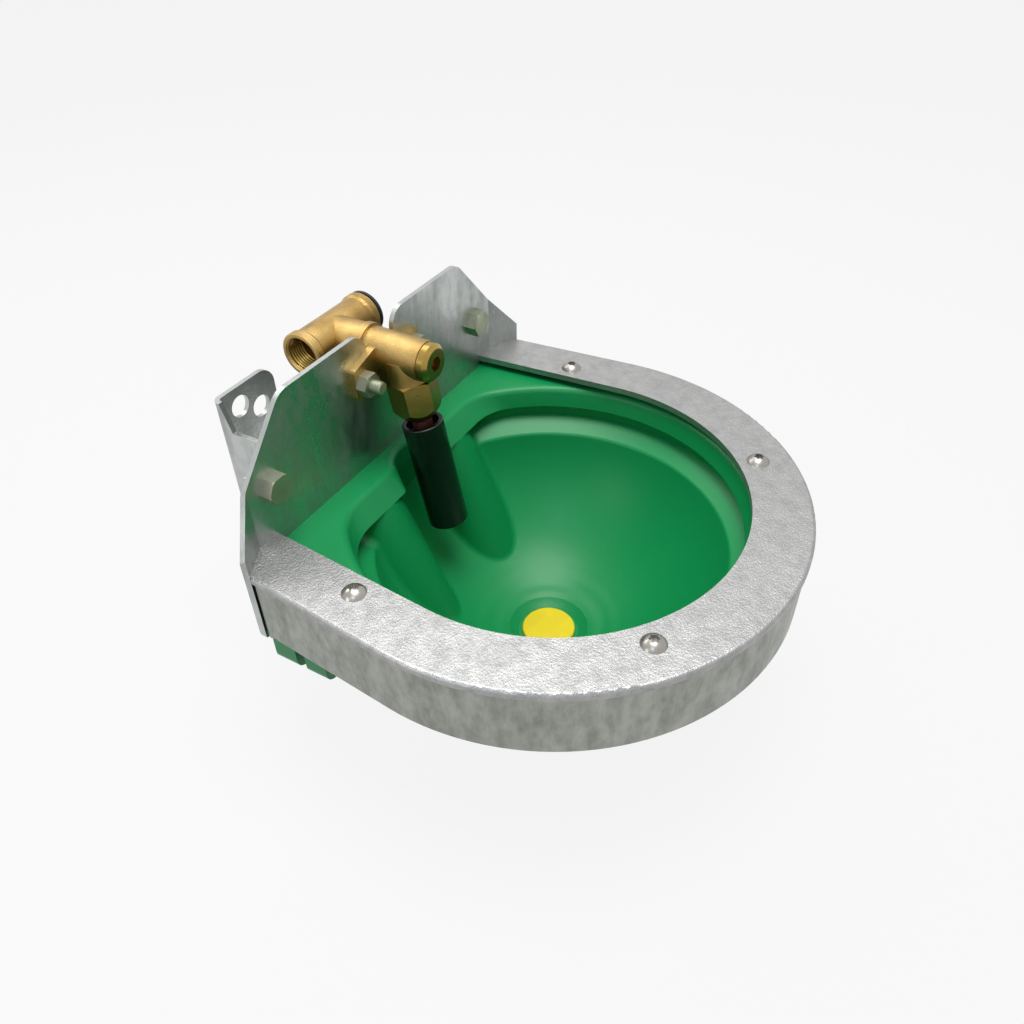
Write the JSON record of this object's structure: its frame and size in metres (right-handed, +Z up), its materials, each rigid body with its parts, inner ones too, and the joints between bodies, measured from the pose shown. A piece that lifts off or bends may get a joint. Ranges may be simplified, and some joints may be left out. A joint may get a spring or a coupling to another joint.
{
  "type": "livestock drinking bowl",
  "caption": "Wall-hung drinking bowl for cattle: round plastic basin in a galvanised guard ring, filled through a brass valve that opens when its hanging tube is pushed.",
  "frame": {"origin": "centre of the wall bolt pattern, on the wall face of the two brackets", "axes": "+Z up, -Y out from the wall towards the animal, +X to the right for someone facing the wall"},
  "size_m": [0.3, 0.335, 0.2165],
  "materials": {
    "green_plastic": "smooth moulded plastic",
    "galvanised": "hot-dip galvanised",
    "zinc_plated": "bright zinc plate",
    "stainless": "machined",
    "brass": "machined, dull",
    "brown_rubber": "moulded",
    "black_plastic": "extruded tube",
    "black_rubber": "moulded",
    "yellow_plastic": "moulded"
  },
  "bodies": {
    "unit": {"bowl": "green_plastic", "guard_ring": "galvanised", "guard_skirt": "galvanised", "guard_welds": "galvanised", "back_plate": "galvanised", "ring_screws": "stainless", "ring_inserts": "brass", "wall_bracket_left": "galvanised", "wall_bracket_right": "galvanised", "bracket_bolts": "zinc_plated", "bracket_nuts": "zinc_plated", "valve_body": "brass", "flange_bolts": "zinc_plated", "flange_washers": "zinc_plated", "flange_nuts": "zinc_plated", "outlet_nut": "brass", "valve_seat": "black_rubber", "valve_spring": "stainless", "tee": "brass", "tee_plug": "black_plastic", "tee_plug_seal": "black_rubber", "inlet_strainer": "stainless"},
    "pivot_washer": {"spring_washer": "stainless"},
    "tube": {"valve_stem": "stainless", "tube_holder": "brown_rubber", "actuator_tube": "black_plastic"},
    "screw_seal": {"regulating_seal": "black_rubber"},
    "screw": {"regulating_screw": "brass"},
    "plug": {"drain_plug": "yellow_plastic", "drain_plug_seal": "black_rubber"}
  },
  "joints": [
    {"name": "tube_tilt_fore_aft", "type": "hinge", "parent": "unit", "child": "pivot_washer", "pos_m": [0, -0.09513, 0.04103], "axis": [1, 0, 0], "range_deg": [-10, 4], "stiffness_Nm_per_rad": 1.5, "deforming": ["valve_spring"]},
    {"name": "tube_tilt_side", "type": "hinge", "parent": "pivot_washer", "child": "tube", "pos_m": [0, -0.09513, 0.04103], "axis": [0, -0.9816, 0.1908], "range_deg": [-4, 4], "stiffness_Nm_per_rad": 1.5},
    {"name": "screw_travel", "type": "slide", "parent": "unit", "child": "screw_seal", "axis": [0, -1, 0], "range_m": [0, 0.001]},
    {"name": "screw_turn", "type": "hinge", "parent": "screw_seal", "child": "screw", "pos_m": [0, -0.106, 0.0695], "axis": [0, -1, 0], "range_deg": [0, 360]},
    {"name": "plug_lift", "type": "slide", "parent": "unit", "child": "plug", "axis": [0, 0, 1], "range_m": [0, 0.04]}
  ],
  "couplings": [
    {"joint": "screw_turn", "follows": "screw_travel", "rad_per_m": 6283.2}
  ]
}
